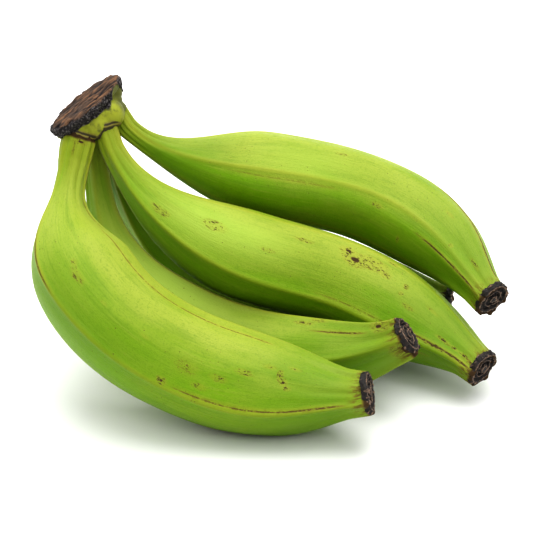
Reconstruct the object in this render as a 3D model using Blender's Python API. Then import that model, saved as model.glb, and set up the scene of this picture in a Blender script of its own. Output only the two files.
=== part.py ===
"""A hand of five green plantains, still joined to the crown it was cut with, lying on its bellies.

Three fingers make the upper row and two the lower row. Each finger is a loft of ridged sections
along a smooth spine, from its neck at the crown to the dried remnant of its blossom. The crown is
a tapered block with a flat cut face and one short stub for each neck.
Metres, +Z up; the origin is the middle of the bounding box's bottom.
"""
import math

import bmesh
import bpy
import numpy as np
from mathutils import Matrix, Vector

NAME = "plantain_hand"

# One fruit's shape, shared by all five
SIDES = 20                 # points round a section, so that each ridge falls on a point
SKIN_RINGS = 28            # sections from the neck to the end of the skin
RIDGE_HEIGHT = 0.165       # how far a ridge stands out from a round section, as a share of the radius
RIDGE_SPREAD = 22.0        # degrees over which its flanks fall away
ROUND_SHARE = 0.935        # the round section's radius, so that ridges don't fatten the finger
RIDGE_AT_NECK = 0.5        # ridge height on the neck, as a share of its height on the body
RIDGE_GROWS = (0.05, 0.35) # shares of the length over which it grows to its full height
TIP_FLUTING = 0.7          # the extra height it gains just before the blossom end
FLUTING_GROWS = (0.75, 0.95)
TAPER_POWER = 1.5          # above 1, the body starts to narrow gently
GROUND = 0.0006            # height of the ground in the spines' frame, just above the lowest bellies
BLOSSOM_DEPTH = 0.006      # the dried remnant beyond the end of the skin
BLOSSOM_RINGS = ((0.04, 0.90), (0.35, 0.98), (0.80, 0.93), (1.00, 0.70))   # depth share, radius share
END_RISE = 0.0007          # how far the middle of a blossom end, or of the block's underside, stands out
SPINE_SAMPLES = 300
AIM_REACH = 0.003          # a spine's direction is taken between points this far to each side

# Spines: control points of a clamped cubic B-spline, from the neck to the blossom end.
# Girth: radius of the neck, of the body and of the blossom end, then the shares of the length
# where the neck starts to swell, where it is full and where the body starts to narrow.
# Roll: degrees by which the section is turned at the neck. Ridges: degrees round it, and strength.
FINGERS = {
    "front_plantain": {
        "spine": ((-.100, .080, .122), (-.103, .076, .111), (-.1115, .047, .090), (-.086, .003, .061),
                  (-.042, -.003, .033), (.006, -.008, .0205), (.040, -.021, .028), (.055, -.027, .032)),
        "girth": (.0086, .0264, .0102, .10, .32, .66),
        "roll": 81,
        "ridges": ((0, 1.0), (72, 0.8), (144, 0.7), (234, 0.9)),
    },
    "inner_plantain": {
        "spine": ((-.0955, .0958, .1215), (-.0935, .093, .109), (-.092, .080, .079), (-.069, .053, .043),
                  (-.018, .0465, .019), (.034, .029, .019), (.062, .011, .036), (.076, .007, .047)),
        "girth": (.0062, .0204, .0094, .07, .48, .70),
        "roll": 92,
        "ridges": ((0, 1.0), (72, 1.0), (144, 0.8), (216, 0.8), (288, 0.7)),
    },
    "middle_plantain": {
        "spine": ((-.0852, .0858, .1282), (-.083, .080, .118), (-.065, .066, .093), (-.017, .062, .065),
                  (.035, .076, .047), (.081, .059, .027), (.106, .031, .023), (.1165, .016, .018)),
        "girth": (.0062, .0252, .0100, .02, .42, .66),
        "roll": 160,
        "ridges": ((0, 1.0), (72, 0.4), (144, 0.7), (216, 0.6), (270, 0.5)),
    },
    "back_plantain": {
        "spine": ((-.0803, .0975, .1340), (-.075, .092, .122), (-.043, .096, .104), (.007, .109, .0915),
                  (.059, .125, .073), (.105, .090, .058), (.114, .056, .052), (.1225, .041, .046)),
        "girth": (.0058, .0246, .0098, .06, .36, .64),
        "roll": 186,
        "ridges": ((0, 1.0), (72, 0.4), (144, 0.7), (216, 0.7), (288, 0.8)),
    },
    "under_plantain": {
        "spine": ((-.0873, .1047, .1280), (-.086, .103, .116), (-.082, .097, .090), (-.059, .110, .044),
                  (-.008, .121, .0172), (.050, .111, .022), (.087, .104, .019), (.107, .093, .0165)),
        "girth": (.0056, .0210, .0090, .07, .50, .68),
        "roll": 42,
        "ridges": ((0, 1.0), (72, 0.8), (144, 0.8), (216, 0.7), (288, 0.8)),
    },
}

# Crown: a block that hangs from its cut face
CUT_CENTRE = Vector((-.0970, .0900, .1450))
CUT_NORMAL = Vector((-.47, -.10, .87)).normalized()
CROWN_LONG = Vector((.70, .56, .44))       # the way the cut face is longest
CROWN_AXIS = Vector((.15, .05, -.98)).normalized()    # the way the block runs on from the cut face
CROWN_SIDES = 24
# Depth under the cut face, half-length, half-width, shift towards the lower row
CROWN_RINGS = ((.0000, .0212, .0108, .0000), (.0008, .0230, .0124, .0000), (.0050, .0236, .0126, .0000),
               (.0064, .0214, .0114, .0004), (.0095, .0210, .0120, .0014), (.0120, .0190, .0106, .0018))
STUB_ROOT_DEPTH = 0.0065   # how deep under the cut face the stubs of the necks start
STUB_LEAN = (0.70, 0.45)   # where a stub starts along and across the block, as shares of its neck's place
STUB_STRAIGHT = 0.0035     # its last stretch, in line with its neck
STUB_RADII = (0.75, 0.96, 1.05)    # at its root, at that stretch and at its finger, as shares of the neck's
JOIN_GAP = 0.0003          # between a stub and its finger

SHARP_ANGLE = 50           # degrees past which an edge is shaded sharp
MATERIALS = {
    "plantain_skin": ((.32, .52, .035, 1), 0.42),
    "crown_bark": ((.16, .13, .05, 1), 0.85),
}


def clear_scene():
    for obj in list(bpy.data.objects):
        bpy.data.objects.remove(obj, do_unlink=True)


def material(name):
    colour, roughness = MATERIALS[name]
    made = bpy.data.materials.new(name)
    made.use_nodes = True
    shader = made.node_tree.nodes["Principled BSDF"]
    shader.inputs["Base Color"].default_value = colour
    shader.inputs["Roughness"].default_value = roughness
    shader.inputs["Metallic"].default_value = 0.0
    return made


def smooth_step(value, start=0.0, end=1.0):
    value = min(max((value - start) / (end - start), 0.0), 1.0)
    return value * value * (3.0 - 2.0 * value)


def sample_spine(controls):
    """Points evenly spaced along the clamped cubic B-spline of the control points."""
    degree = 3
    spans = len(controls) - degree
    knots = [0.0] * degree + [i / spans for i in range(spans + 1)] + [1.0] * degree
    points = []
    for step in range(SPINE_SAMPLES + 1):
        t = min(step / SPINE_SAMPLES, 1.0 - 1e-9)
        span = degree + int(t * spans)
        work = [Vector(controls[span - degree + j]) for j in range(degree + 1)]
        for level in range(1, degree + 1):
            for j in range(degree, level - 1, -1):
                low = knots[span - degree + j]
                high = knots[span + 1 + j - level]
                work[j] = work[j - 1].lerp(work[j], (t - low) / (high - low))
        points.append(work[degree])
    return points


def along_spine(points):
    """A function from a distance along the spine to its point and direction there."""
    way = np.array([tuple(p) for p in points])
    steps = np.linalg.norm(np.diff(way, axis=0), axis=1)
    reach = np.concatenate(([0.0], np.cumsum(steps)))

    def at(distance):
        return Vector([float(np.interp(distance, reach, way[:, axis])) for axis in range(3)])

    def direction(distance):
        ahead = at(min(distance + AIM_REACH, reach[-1]))
        behind = at(max(distance - AIM_REACH, 0.0))
        return (ahead - behind).normalized()

    return at, direction, float(reach[-1])


def girth_at(girth, share):
    neck, body, tip, swell_start, swell_end, taper_start = girth
    swell = smooth_step(share, swell_start, swell_end)
    taper = smooth_step((max(share - taper_start, 0.0) / (1.0 - taper_start)) ** TAPER_POWER)
    return neck + (body - neck) * swell - (body - tip) * taper


def section_reach(degrees, ridges, flute):
    """Radius of a section at an angle round it: a circle with a crest at each ridge."""
    reach = ROUND_SHARE
    for place, strength in ridges:
        away = abs((degrees - place + 180) % 360 - 180)
        reach += RIDGE_HEIGHT * flute * strength * math.exp(-away / RIDGE_SPREAD)
    return reach


def ridge_strength(share):
    """The ridges are soft on the neck, clear on the body and deep just before the blossom end."""
    grown = smooth_step(share, *RIDGE_GROWS)
    return RIDGE_AT_NECK + (1.0 - RIDGE_AT_NECK) * grown + TIP_FLUTING * smooth_step(share, *FLUTING_GROWS)


def add_ring(mesh, centre, turn, radius, ridges, flute):
    """A section as a ring of vertices round its centre, in the plane that the turn sets."""
    ring = []
    for side in range(SIDES):
        degrees = 360 * side / SIDES
        angle = math.radians(degrees)
        reach = radius * section_reach(degrees, ridges, flute)
        offset = turn @ Vector((reach * math.cos(angle), reach * math.sin(angle), 0.0))
        ring.append(mesh.verts.new(centre + offset))
    return ring


def skin_rings(mesh, finger):
    """All of a finger's sections, and the middle points of its two ends."""
    at, direction, length = along_spine(sample_spine(finger["spine"]))
    skin_end = length - BLOSSOM_DEPTH
    axis = direction(JOIN_GAP)
    turn = Vector((0, 0, 1)).rotation_difference(axis)
    turn = turn @ Matrix.Rotation(math.radians(finger["roll"]), 3, "Z").to_quaternion()
    stations = []
    for index in range(SKIN_RINGS):
        share = index / (SKIN_RINGS - 1)
        stations.append((JOIN_GAP + (skin_end - JOIN_GAP) * share, girth_at(finger["girth"], share),
                         ridge_strength(share)))
    for depth, width in BLOSSOM_RINGS:
        stations.append((skin_end + BLOSSOM_DEPTH * depth, finger["girth"][2] * width, RIDGE_AT_NECK))
    rings = []
    for distance, radius, flute in stations:
        ahead = direction(distance)
        turn = axis.rotation_difference(ahead) @ turn
        axis = ahead
        rings.append(add_ring(mesh, at(distance), turn, radius, finger["ridges"], flute))
    return rings, at(JOIN_GAP), at(length) + direction(length) * END_RISE


def close_loft(mesh, rings, first_pole, last_pole):
    """Quads between neighbouring rings, and a fan of triangles on each end."""
    count = len(rings[0])
    for lower, upper in zip(rings, rings[1:]):
        for i in range(count):
            j = (i + 1) % count
            mesh.faces.new((lower[i], lower[j], upper[j], upper[i]))
    start = mesh.verts.new(first_pole)
    end = mesh.verts.new(last_pole)
    for i in range(count):
        j = (i + 1) % count
        mesh.faces.new((start, rings[0][j], rings[0][i]))
        mesh.faces.new((end, rings[-1][i], rings[-1][j]))


def finish_object(mesh, name, look, collection):
    bmesh.ops.recalc_face_normals(mesh, faces=mesh.faces)
    data = bpy.data.meshes.new(name)
    mesh.to_mesh(data)
    mesh.free()
    data.materials.append(look)
    data.shade_smooth()
    data.set_sharp_from_angle(angle=math.radians(SHARP_ANGLE))
    made = bpy.data.objects.new(name, data)
    collection.objects.link(made)
    return made


def make_finger(name, finger, look, collection):
    mesh = bmesh.new()
    rings, neck_middle, blossom_middle = skin_rings(mesh, finger)
    close_loft(mesh, rings, neck_middle, blossom_middle)
    for vertex in mesh.verts:
        vertex.co.z = max(vertex.co.z, GROUND)      # the belly is flat where it rests
    return finish_object(mesh, name, look, collection)


def crown_frame():
    """The directions along and across the cut face."""
    across = CUT_NORMAL.cross(CROWN_LONG).normalized()
    return across.cross(CUT_NORMAL), across


def make_block(look, collection):
    """The crown's block: oval sections under the cut face."""
    mesh = bmesh.new()
    along, across = crown_frame()
    rings = []
    for depth, half_length, half_width, shift in CROWN_RINGS:
        centre = CUT_CENTRE + CROWN_AXIS * depth + across * shift
        ring = []
        for side in range(CROWN_SIDES):
            angle = math.tau * side / CROWN_SIDES
            offset = along * half_length * math.cos(angle) + across * half_width * math.sin(angle)
            ring.append(mesh.verts.new(centre + offset))
        rings.append(ring)
    depth, _, _, shift = CROWN_RINGS[-1]
    close_loft(mesh, rings, CUT_CENTRE, CUT_CENTRE + CROWN_AXIS * (depth + END_RISE) + across * shift)
    return finish_object(mesh, "crown", look, collection)


def add_stub(crown, name, finger, look, collection):
    """Joins to the block the stub that one neck grows from, with a Boolean union."""
    at, direction, _ = along_spine(sample_spine(finger["spine"]))
    end = at(0.0)
    bend = end - direction(0.0) * STUB_STRAIGHT
    along, across = crown_frame()
    root = CUT_CENTRE + CROWN_AXIS * STUB_ROOT_DEPTH
    offset = end - root
    root = root + along * offset.dot(along) * STUB_LEAN[0] + across * offset.dot(across) * STUB_LEAN[1]
    axes = ((bend - root).normalized(), direction(0.0), direction(0.0))
    mesh = bmesh.new()
    rings = []
    turn = Vector((0, 0, 1)).rotation_difference(axes[0])
    axis = axes[0]
    for centre, ahead, share in zip((root, bend, end), axes, STUB_RADII):
        turn = axis.rotation_difference(ahead) @ turn
        axis = ahead
        rings.append(add_ring(mesh, centre, turn, finger["girth"][0] * share, (), 0.0))
    close_loft(mesh, rings, root, end)
    stub = finish_object(mesh, name + "_stub", look, collection)
    stub.hide_render = True
    stub.display_type = "WIRE"
    union = crown.modifiers.new(name + "_stub", "BOOLEAN")
    union.operation = "UNION"
    union.object = stub
    union.solver = "EXACT"


def centre_on_ground(root, parts):
    """Moves the root so that the origin is the middle of the bottom of the whole bounding box."""
    bpy.context.view_layer.update()
    corners = [part.matrix_world @ Vector(corner) for part in parts for corner in part.bound_box]
    middle = [(min(c[axis] for c in corners) + max(c[axis] for c in corners)) / 2 for axis in (0, 1)]
    root.location = (-middle[0], -middle[1], -min(c.z for c in corners))


def main():
    clear_scene()
    parts_group = bpy.data.collections.new(NAME)
    cutters_group = bpy.data.collections.new(NAME + "_cutters")
    bpy.context.scene.collection.children.link(parts_group)
    bpy.context.scene.collection.children.link(cutters_group)
    skin = material("plantain_skin")
    bark = material("crown_bark")
    parts = [make_finger(name, finger, skin, parts_group) for name, finger in FINGERS.items()]
    crown = make_block(bark, parts_group)
    parts.append(crown)
    for name, finger in FINGERS.items():
        add_stub(crown, name, finger, bark, cutters_group)
    root = bpy.data.objects.new(NAME, None)
    parts_group.objects.link(root)
    for obj in list(parts_group.objects) + list(cutters_group.objects):
        if obj is not root:
            obj.parent = root
    centre_on_ground(root, parts)


main()
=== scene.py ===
"""The looks of a hand of green plantains, built round its construction model.

Each finger's peel is a copy of its construction mesh. Its neck is carried on into the crown, its
tip is turned in, its ridges are creased, and it is subdivided. Then it is worked over: crests along
the ridges, folds at the neck and the tip, and shallow waves. A dried blossom end closes each finger.
The crown joins the necks, with its fibrous cut face and crusty rim. Numbers painted on each mesh
tell its material where the ridges, brown lines, scuffs, scars, and patches and sides of painted
light and shade are.

Lengths are in metres unless a comment or a description says otherwise.
"""
import math

import bpy
import numpy as np
from bpy.props import FloatProperty, FloatVectorProperty, IntProperty, PointerProperty
from mathutils import Matrix, Vector, noise


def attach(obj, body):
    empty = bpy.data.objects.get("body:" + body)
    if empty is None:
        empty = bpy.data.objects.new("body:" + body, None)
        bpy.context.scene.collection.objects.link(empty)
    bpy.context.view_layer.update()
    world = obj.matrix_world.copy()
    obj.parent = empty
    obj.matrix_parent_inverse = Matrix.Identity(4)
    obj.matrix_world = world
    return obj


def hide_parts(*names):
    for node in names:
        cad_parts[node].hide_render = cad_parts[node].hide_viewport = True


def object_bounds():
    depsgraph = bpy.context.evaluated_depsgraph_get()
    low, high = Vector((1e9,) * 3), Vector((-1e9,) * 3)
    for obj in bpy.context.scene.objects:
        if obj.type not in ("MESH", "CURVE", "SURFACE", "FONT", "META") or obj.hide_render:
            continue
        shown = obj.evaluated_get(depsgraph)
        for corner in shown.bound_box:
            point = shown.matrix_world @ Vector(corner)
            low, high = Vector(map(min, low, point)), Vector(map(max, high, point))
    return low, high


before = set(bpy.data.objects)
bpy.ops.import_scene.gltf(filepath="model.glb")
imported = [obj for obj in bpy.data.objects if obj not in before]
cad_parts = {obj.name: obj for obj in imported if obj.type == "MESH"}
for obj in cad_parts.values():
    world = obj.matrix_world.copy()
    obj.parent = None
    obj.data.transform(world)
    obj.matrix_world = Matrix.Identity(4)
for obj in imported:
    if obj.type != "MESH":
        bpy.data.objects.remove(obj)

CAD_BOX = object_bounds()

bl_info = {
    "name": "Plantain hand",
    "version": (1, 0, 0),
    "blender": (4, 5, 0),
    "location": "3D View > Sidebar > Plantains",
    "description": "Builds a hand of green plantains with its dried blossom ends and cut crown",
    "category": "Add Mesh",
}

# ---------------------------------------------------------------- design of the five fingers

SIDES = 20                 # points round each section of a finger's construction mesh
ALL_SECTIONS = 32          # its sections, from the neck to the dried end
SKIN_SECTIONS = 28         # the ones from the neck to the end of the skin
MERGE = 1e-6               # points closer than this are merged
BODY = "root"
PEEL_SCALE = 0.024         # a finger's usual radius: one unit of the grain coordinates
PAINTED_LIGHT_SIDE = (0.33, 0.35, 0.88)            # direction of the painted light: peel facing it is painted lighter, peel facing away is painted in shade

TIP_REACH = 0.0030         # how far the skin carries on past its last section
TIP_LEAN = (0.0, 0.24, 0.0)              # how far its end leans, for one unit of its direction
TIP_NARROWS = 0.99         # width of the end, as a share of the last section's
# the edge that is turned in there: a move ahead, then a width as a share of the width before
TIP_TURNS = ((0.0002, 0.93), (-0.0030, 0.90), (-0.0050, 0.85))

# roll: degrees by which a section is turned at the neck, so that 0 degrees is the main ridge
# neck: mm by which the neck carries on into the crown; mm, degrees and length in mm of its swelling
# ridges: degrees round the section, and how sharp
# lines: brown lines along the peel: degrees, from, to (shares of the length), darkness
# scuffs: share of the length, degrees round, half-length and half-width in mm, darkness
# patches of painted light and painted shade, partly the peel's own tone: soft patches, given in
# the same way, with a tone in place of the darkness: painted light, paler than the peel round it,
# above 0, and painted shade, a deeper green, below 0
FINGERS = {
    "front_plantain": {
        "roll": 81,
        "neck": (7.5, 2.4, 22, 18),
        "ridges": ((0, 1.0), (72, 0.5), (144, 0.4), (234, 0.8)),
        "lines": ((0, 0.22, 0.34, 0.7), (355, 0.60, 0.96, 0.9), (256, 0.24, 0.78, 0.8),
                  (230, 0.02, 0.12, 0.8), (246, 0.12, 0.24, 0.7)),
        "scuffs": (
            (0.32, 322, 2.5, 1.5, 0.5), (0.345, 327, 5, 2.5, 0.5), (0.41, 323, 2, 1.2, 0.4),
            (0.50, 322, 3, 1.2, 0.4), (0.566, 354, 2.5, 1.8, 0.95), (0.60, 330, 9, 5, 0.35),
            (0.64, 344, 5, 1.5, 0.6), (0.675, 329, 6, 1.8, 0.6), (0.73, 314, 6, 1.8, 0.6),
            (0.79, 298, 5, 1.5, 0.5), (0.85, 290, 4, 1.5, 0.5), (0.82, 307, 1.8, 3, 0.9),
            (0.83, 316, 2.2, 1.8, 0.95), (0.84, 324, 2, 1.2, 0.9), (0.70, 70, 12, 5, 0.6),
            (0.45, 120, 9, 4, 0.5), (0.60, 170, 14, 3, 0.6), (-0.010, 300, 1.8, 4.0, 0.95),
            (0.012, 320, 4.0, 0.5, 0.85),
        ),
        "painted_light_and_tone_patches": ((0.35, 0, 26, 14, -0.45), (0.48, 354, 28, 12, -0.35), (0.62, 330, 20, 6, -0.20)),
    },
    "inner_plantain": {
        "roll": 92,
        "neck": (3.0, 2.2, 346, 60),
        "ridges": ((0, 0.8), (72, 0.8), (144, 0.8), (216, 0.6), (288, 0.8)),
        "lines": ((22, 0.80, 0.92, 0.9), (0, 0.30, 0.60, 0.4), (288, 0.55, 0.95, 0.6),
                  (144, 0.50, 0.90, 0.5)),
        "scuffs": (
            (0.76, 10, 7, 1.3, 0.7), (0.80, 3, 6, 1.2, 0.7), (0.84, 357, 5, 1.2, 0.7),
            (0.955, 8, 5, 3, 0.85), (0.965, 325, 3, 3, 0.85), (0.94, 300, 4, 3, 0.6),
            (0.98, 100, 4, 5, 0.6), (0.55, 150, 10, 4, 0.5),
        ),
        # the first patch is painted light, on the part that lies under the middle finger
        "painted_light_and_tone_patches": ((0.41, 14, 42, 17, 0.90), (0.95, 137, 20, 8, 0.50)),
    },
    "middle_plantain": {
        "roll": 160,
        "neck": (3.5, 0.9, 75, 34),
        "ridges": ((0, 1.0), (72, 0.3), (144, 0.7), (216, 0.5), (270, 0.5)),
        "lines": ((354, 0.56, 0.82, 0.6), (350, 0.80, 1.0, 1.0), (144, 0.40, 0.95, 0.6),
                  (216, 0.60, 0.95, 0.5), (70, 0.02, 0.20, 0.8)),
        "scuffs": (
            (0.195, 341, 5, 1.8, 0.7), (0.21, 336, 2.2, 1.3, 0.8), (0.305, 313, 7, 3, 0.6),
            (0.50, 292, 6, 1.2, 0.7), (0.605, 286, 5, 2.5, 0.9), (0.625, 296, 8, 4, 0.9),
            (0.665, 290, 10, 4.5, 0.75), (0.705, 297, 4, 2, 0.85), (0.71, 274, 3, 1, 0.9),
            (0.765, 296, 1.8, 1.4, 0.95), (0.765, 309, 1.4, 1.2, 0.9), (0.91, 332, 5, 1.0, 0.95),
            (0.94, 332, 3, 0.9, 0.95), (0.965, 332, 3, 1.0, 0.95), (0.985, 334, 2, 0.9, 0.9),
            (0.85, 300, 5, 1.2, 0.5), (0.55, 200, 12, 5, 0.5), (0.35, 250, 8, 3, 0.5),
            (0.90, 351, 9, 0.9, 0.95), (0.96, 350, 7, 0.8, 0.9), (0.86, 20, 9, 0.8, 0.8),
            (0.42, 320, 6, 1.5, 0.45), (0.80, 320, 5, 1.4, 0.6),
        ),
        "painted_light_and_tone_patches": ((0.29, 316, 26, 12, 0.55), (0.41, 313, 20, 10, 0.40), (0.06, 335, 14, 6, -0.35)),
    },
    "back_plantain": {
        "roll": 186,
        "neck": (3.5, 0.6, 115, 20),
        "ridges": ((0, 1.0), (72, 0.3), (144, 0.7), (216, 0.7), (288, 0.8)),
        "lines": ((8, 0.26, 0.50, 0.5), (18, 0.80, 0.98, 0.95), (291, 0.72, 0.99, 1.0),
                  (216, 0.40, 0.95, 0.6)),
        "scuffs": (
            (0.63, 12, 6, 1.5, 0.7), (0.734, 41, 1.3, 2.4, 0.95), (0.867, 354, 1.3, 1.2, 0.9),
            (0.66, 300, 3, 1.2, 0.6), (0.50, 318, 5, 1.2, 0.45), (0.93, 335, 5, 1.2, 0.6),
            (0.80, 322, 4, 1.2, 0.5), (0.45, 240, 10, 4, 0.6), (0.65, 180, 12, 4, 0.5),
        ),
        "painted_light_and_tone_patches": ((0.42, 342, 34, 10, 0.48), (0.22, 323, 15, 10, -0.30),
                  (0.08, 340, 26, 16, -0.45)),
    },
    "under_plantain": {
        "roll": 42,
        "neck": (3.0, 2.2, 218, 60),
        "ridges": ((0, 1.0), (72, 0.8), (144, 0.8), (216, 0.7), (288, 0.8)),
        "lines": ((0, 0.20, 0.90, 0.5), (72, 0.50, 0.96, 0.8), (288, 0.60, 0.96, 0.6)),
        "scuffs": ((0.40, 36, 8, 3, 0.5), (0.62, 320, 10, 4, 0.6), (0.75, 110, 6, 3, 0.6)),
        # the two deep-green patches at the neck are painted shade
        "painted_light_and_tone_patches": ((0.50, 100, 30, 14, 0.40), (0.08, 218, 30, 40, -0.80), (0.08, 38, 30, 40, -0.80)),
    },
}


# ---------------------------------------------------------------- settings

class PlantainPeelSettings(bpy.types.PropertyGroup):
    green: FloatVectorProperty(
        name="Green", description="Peel on the body of a finger",
        subtype="COLOR", size=4, min=0, max=1, default=(0.226, 0.322, 0.015, 1))
    # painted shade: the greener peel colour put on the side that faces away from the light
    painted_shade: FloatVectorProperty(
        name="Shady side", description="Greener peel on the side turned away from the sun",
        subtype="COLOR", size=4, min=0, max=1, default=(0.178, 0.345, 0.001, 1))
    lime: FloatVectorProperty(
        name="Lime", description="Lighter, yellower peel between the green zones",
        subtype="COLOR", size=4, min=0, max=1, default=(0.318, 0.378, 0.046, 1))
    deep: FloatVectorProperty(
        name="Deep green", description="Streaks of darker peel",
        subtype="COLOR", size=4, min=0, max=1, default=(0.100, 0.215, 0.001, 1))
    # painted light: the colour of the patches painted lighter, partly the peel's own pale tone
    pale: FloatVectorProperty(
        name="Pale", description="Pale, waxy patches of peel",
        subtype="COLOR", size=4, min=0, max=1, default=(0.405, 0.540, 0.085, 1))
    straw: FloatVectorProperty(
        name="Straw", description="Yellowish peel along the ridges and on the necks",
        subtype="COLOR", size=4, min=0, max=1, default=(0.400, 0.370, 0.036, 1))
    bruise: FloatVectorProperty(
        name="Bruise", description="Brown lines, flecks and scuffs",
        subtype="COLOR", size=4, min=0, max=1, default=(0.062, 0.034, 0.012, 1))
    ochre: FloatVectorProperty(
        name="Ochre", description="Faint marks, and the edges of the darker ones",
        subtype="COLOR", size=4, min=0, max=1, default=(0.165, 0.118, 0.014, 1))
    gloss: FloatProperty(
        name="Roughness", description="Roughness of the clean, waxy peel",
        min=0.05, max=1, default=0.40)
    crease: FloatProperty(
        name="Crease", description="How sharp a full-strength ridge stays when subdivided",
        min=0, max=1, default=0.55)
    crest: FloatProperty(
        name="Crest", description="Height of the fine crest along a ridge",
        unit="LENGTH", min=0, max=0.002, default=0.00045)
    crest_width: FloatProperty(
        name="Crest width", description="Half-width of the fine crest",
        unit="LENGTH", min=0.0002, max=0.01, default=0.0016)
    wave: FloatProperty(
        name="Waves", description="Depth of the long waves in the peel",
        unit="LENGTH", min=0, max=0.002, default=0.00035)
    fold: FloatProperty(
        name="Folds", description="Depth of the lengthwise folds at the neck and the tip",
        unit="LENGTH", min=0, max=0.002, default=0.0009)


class PlantainBlossomSettings(bpy.types.PropertyGroup):
    dark: FloatVectorProperty(
        name="Dark", description="Shrivelled tissue of the blossom end",
        subtype="COLOR", size=4, min=0, max=1, default=(0.013, 0.009, 0.007, 1))
    edge: FloatVectorProperty(
        name="Edge", description="Paler, worn edges of the blossom end",
        subtype="COLOR", size=4, min=0, max=1, default=(0.260, 0.165, 0.105, 1))
    knobs: IntProperty(
        name="Knobs", description="Shrivelled knobs round the rim", min=0, max=12, default=5)
    crust: FloatProperty(
        name="Crust", description="Depth of the shrivelled surface",
        unit="LENGTH", min=0, max=0.002, default=0.0006)


class PlantainCrownSettings(bpy.types.PropertyGroup):
    flesh: FloatVectorProperty(
        name="Flesh", description="Yellow-green cushion between the necks",
        subtype="COLOR", size=4, min=0, max=1, default=(0.330, 0.360, 0.030, 1))
    olive: FloatVectorProperty(
        name="Olive", description="Duller sides of the crown",
        subtype="COLOR", size=4, min=0, max=1, default=(0.120, 0.130, 0.022, 1))
    crust: FloatVectorProperty(
        name="Crust", description="Blackened rim under the cut face",
        subtype="COLOR", size=4, min=0, max=1, default=(0.020, 0.017, 0.018, 1))
    # partly ash and partly painted glints: the grey on the rim's bumps
    ash_and_glint: FloatVectorProperty(
        name="Ash", description="Greyish worn bumps of the rim",
        subtype="COLOR", size=4, min=0, max=1, default=(0.150, 0.135, 0.130, 1))
    fibre: FloatVectorProperty(
        name="Fibre", description="Dried fibres of the cut face",
        subtype="COLOR", size=4, min=0, max=1, default=(0.095, 0.063, 0.046, 1))
    rust: FloatVectorProperty(
        name="Rust", description="Orange-brown streaks of the cut face",
        subtype="COLOR", size=4, min=0, max=1, default=(0.225, 0.125, 0.070, 1))
    voxel: FloatProperty(
        name="Voxel", description="Grid of the remesh that grows the stubs together",
        unit="LENGTH", min=0.0002, max=0.002, default=0.00045)


class PlantainStageSettings(bpy.types.PropertyGroup):
    elevation: FloatProperty(
        name="Elevation", description="Camera's height above the horizon",
        subtype="ANGLE", default=math.radians(27))
    distance: FloatProperty(
        name="Distance", description="Camera to the point it looks at",
        unit="LENGTH", default=0.95)
    lens: FloatProperty(
        name="Focal length", description="Focal length in millimetres", default=118.7)
    key: FloatProperty(
        name="Key light", description="Strength of the large soft light above", default=2.1)
    key_from: FloatVectorProperty(
        name="Key from", description="Where the large soft light shines from",
        subtype="DIRECTION", size=3, default=(0.02, 0.16, 1.0))
    front: FloatProperty(
        name="Front light", description="Strength of the soft light above the camera", default=0.85)
    front_from: FloatVectorProperty(
        name="Front from", description="Where the front light shines from",
        subtype="DIRECTION", size=3, default=(0.15, -0.55, 1.0))
    softness: FloatProperty(
        name="Softness", description="Angle that each of the two soft lights covers",
        subtype="ANGLE", default=math.radians(50))
    fill: FloatProperty(
        name="Fill light", description="Strength of the white surroundings on the dim side",
        default=0.185)
    bright: FloatProperty(
        name="Bright side", description="Strength of the white surroundings on the bright side",
        default=1.8)
    exposure: FloatProperty(
        name="Exposure", description="Exposure of the picture, in stops", default=0.0)
    gamma: FloatProperty(
        name="Gamma", description="Gamma of the picture", default=0.80)
    bright_side: FloatVectorProperty(
        name="Bright side from", description="Where the surroundings are brightest",
        subtype="DIRECTION", size=3, default=(-0.05, 0.55, 0.8))


# ---------------------------------------------------------------- shader kit

class Value:
    """A shader socket that takes part in Python arithmetic."""

    def __init__(self, shader, socket):
        self.shader = shader
        self.socket = socket

    def math(self, operation, *others):
        return self.shader.maths(operation, self, *others)

    def __add__(self, other):
        return self.math("ADD", other)

    def __radd__(self, other):
        return self.math("ADD", other)

    def __sub__(self, other):
        return self.math("SUBTRACT", other)

    def __rsub__(self, other):
        return self.shader.maths("SUBTRACT", other, self)

    def __mul__(self, other):
        return self.math("MULTIPLY", other)

    def __rmul__(self, other):
        return self.math("MULTIPLY", other)

    def rise(self, low, high):
        """0 up to low, 1 from high on, with a smooth rise between."""
        return self.shader.add(
            "ShaderNodeMapRange", {"interpolation_type": "SMOOTHSTEP"},
            {"Value": self, "From Min": low, "From Max": high})

    def fall(self, low, high):
        return 1 - self.rise(low, high)


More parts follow.
